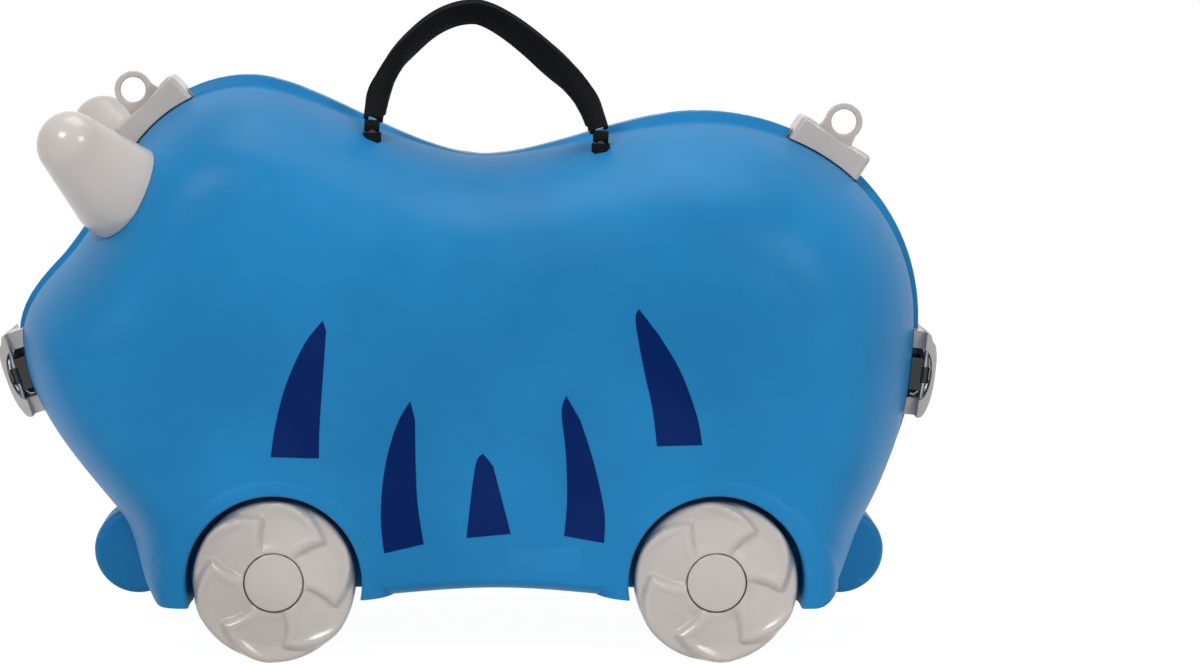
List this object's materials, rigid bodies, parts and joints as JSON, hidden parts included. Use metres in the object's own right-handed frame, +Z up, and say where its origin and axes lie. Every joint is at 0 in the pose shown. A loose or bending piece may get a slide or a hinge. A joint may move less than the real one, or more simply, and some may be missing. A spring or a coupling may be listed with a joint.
{
  "type": "ride-on suitcase for a child",
  "caption": "Hard ride-on suitcase for a child: two moulded halves on a bottom hinge, with fan-bladed wheels, blunt horns, end latches, tow rings, webbing handles and packing straps inside.",
  "frame": {"origin": "on the floor, under the middle of the seam", "axes": "+X from the nose to the tail along the seam, +Y across the seam into the half that opens, +Z up"},
  "size_m": [0.4664, 0.1936, 0.3164],
  "materials": {
    "blue_shell": "satin moulded plastic, sky blue",
    "off_white": "glossy off-white",
    "seal": "matt pale rubber",
    "webbing": "woven black webbing",
    "black_nylon": "matt black",
    "mesh_cloth": "open knitted mesh",
    "chrome": "polished",
    "steel": "plain"
  },
  "bodies": {
    "near_half": {"shell_near": "blue_shell", "rim_seal_near": "seal", "horn_near": "off_white", "horn_boss_near": "off_white", "latch_base_front": "blue_shell", "latch_base_rear": "blue_shell", "latch_pin_front": "steel", "latch_pin_rear": "steel", "hinge_leaf_front_near": "off_white", "hinge_leaf_rear_near": "off_white", "hinge_pin_front": "steel", "hinge_pin_rear": "steel", "axle_front_near": "steel", "axle_rear_near": "steel", "retainer_front_near": "off_white", "retainer_rear_near": "off_white", "handle_anchor_near": "black_nylon"},
    "far_half": {"shell_far": "blue_shell", "rim_seal_far": "seal", "horn_far": "off_white", "horn_boss_far": "off_white", "hinge_leaf_front_far": "off_white", "hinge_leaf_rear_far": "off_white", "axle_front_far": "steel", "axle_rear_far": "steel", "retainer_front_far": "off_white", "retainer_rear_far": "off_white", "handle_anchor_far": "black_nylon", "tow_clip_front": "off_white", "tow_clip_rear": "off_white", "clip_block_front": "off_white", "clip_block_rear": "off_white", "latch_keeper_front": "blue_shell", "latch_keeper_rear": "blue_shell", "strap_front": "webbing", "strap_rear": "webbing", "strap_anchor_front": "off_white", "strap_anchor_rear": "off_white", "buckle_socket": "black_nylon", "buckle_plug": "black_nylon", "pocket": "mesh_cloth", "pocket_zip": "black_nylon"},
    "front_wheel_near": {"wheel_front_near": "off_white", "hub_cap_front_near": "off_white"},
    "front_wheel_far": {"wheel_front_far": "off_white", "hub_cap_front_far": "off_white"},
    "rear_wheel_near": {"wheel_rear_near": "off_white", "hub_cap_rear_near": "off_white"},
    "rear_wheel_far": {"wheel_rear_far": "off_white", "hub_cap_rear_far": "off_white"},
    "latch_front": {"latch_front": "off_white"},
    "latch_rear": {"latch_rear": "off_white"},
    "lock_front": {"lock_barrel_front": "chrome"},
    "lock_rear": {"lock_barrel_rear": "chrome"},
    "tow_ring_front": {"tow_ring_front": "off_white"},
    "tow_ring_rear": {"tow_ring_rear": "off_white"},
    "handle_near": {"handle_near": "webbing"},
    "handle_far": {"handle_far": "webbing"},
    "zip_slider": {"zip_slider": "chrome"}
  },
  "joints": [
    {"name": "case_hinge", "type": "hinge", "parent": "near_half", "child": "far_half", "pos_m": [0, 0, 0.0235], "axis": [-1, 0, 0], "range_deg": [0, 100]},
    {"name": "front_wheel_near_spin", "type": "hinge", "parent": "near_half", "child": "front_wheel_near", "pos_m": [-0.0935, 0, 0.0395], "axis": [0, 1, 0], "continuous": true},
    {"name": "front_wheel_far_spin", "type": "hinge", "parent": "far_half", "child": "front_wheel_far", "pos_m": [-0.0935, 0, 0.0395], "axis": [0, 1, 0], "continuous": true},
    {"name": "rear_wheel_near_spin", "type": "hinge", "parent": "near_half", "child": "rear_wheel_near", "pos_m": [0.1195, 0, 0.0395], "axis": [0, 1, 0], "continuous": true},
    {"name": "rear_wheel_far_spin", "type": "hinge", "parent": "far_half", "child": "rear_wheel_far", "pos_m": [0.1195, 0, 0.0395], "axis": [0, 1, 0], "continuous": true},
    {"name": "latch_front_swing", "type": "hinge", "parent": "near_half", "child": "latch_front", "pos_m": [-0.22468, -0.0215, 0.13071], "axis": [-0.2723, 0, 0.9622], "range_deg": [0, 90]},
    {"name": "latch_rear_swing", "type": "hinge", "parent": "near_half", "child": "latch_rear", "pos_m": [0.2271, -0.0215, 0.13113], "axis": [-0.1269, 0, -0.9919], "range_deg": [0, 90]},
    {"name": "lock_front_turn", "type": "hinge", "parent": "near_half", "child": "lock_front", "pos_m": [-0.22189, -0.01, 0.1315], "axis": [-0.9622, 0, -0.2723], "range_deg": [0, 90]},
    {"name": "lock_rear_turn", "type": "hinge", "parent": "near_half", "child": "lock_rear", "pos_m": [0.22422, -0.01, 0.1315], "axis": [0.9919, 0, -0.1269], "range_deg": [0, 90]},
    {"name": "tow_ring_front_fold", "type": "hinge", "parent": "far_half", "child": "tow_ring_front", "pos_m": [-0.15784, 0, 0.26187], "axis": [0.743, 0, 0.6692], "range_deg": [-55, 55]},
    {"name": "tow_ring_rear_fold", "type": "hinge", "parent": "far_half", "child": "tow_ring_rear", "pos_m": [0.1806, 0, 0.2443], "axis": [0.8362, 0, -0.5484], "range_deg": [-55, 55]},
    {"name": "handle_near_fold", "type": "hinge", "parent": "near_half", "child": "handle_near", "pos_m": [0.009, -0.036, 0.25327], "axis": [0.9988, 0, -0.0497], "range_deg": [0, 100]},
    {"name": "handle_far_fold", "type": "hinge", "parent": "far_half", "child": "handle_far", "pos_m": [0.009, 0.036, 0.25327], "axis": [-0.9988, 0, 0.0497], "range_deg": [0, 100]},
    {"name": "zip_slide", "type": "slide", "parent": "far_half", "child": "zip_slider", "axis": [1, 0, 0], "range_m": [0, 0.26]}
  ]
}
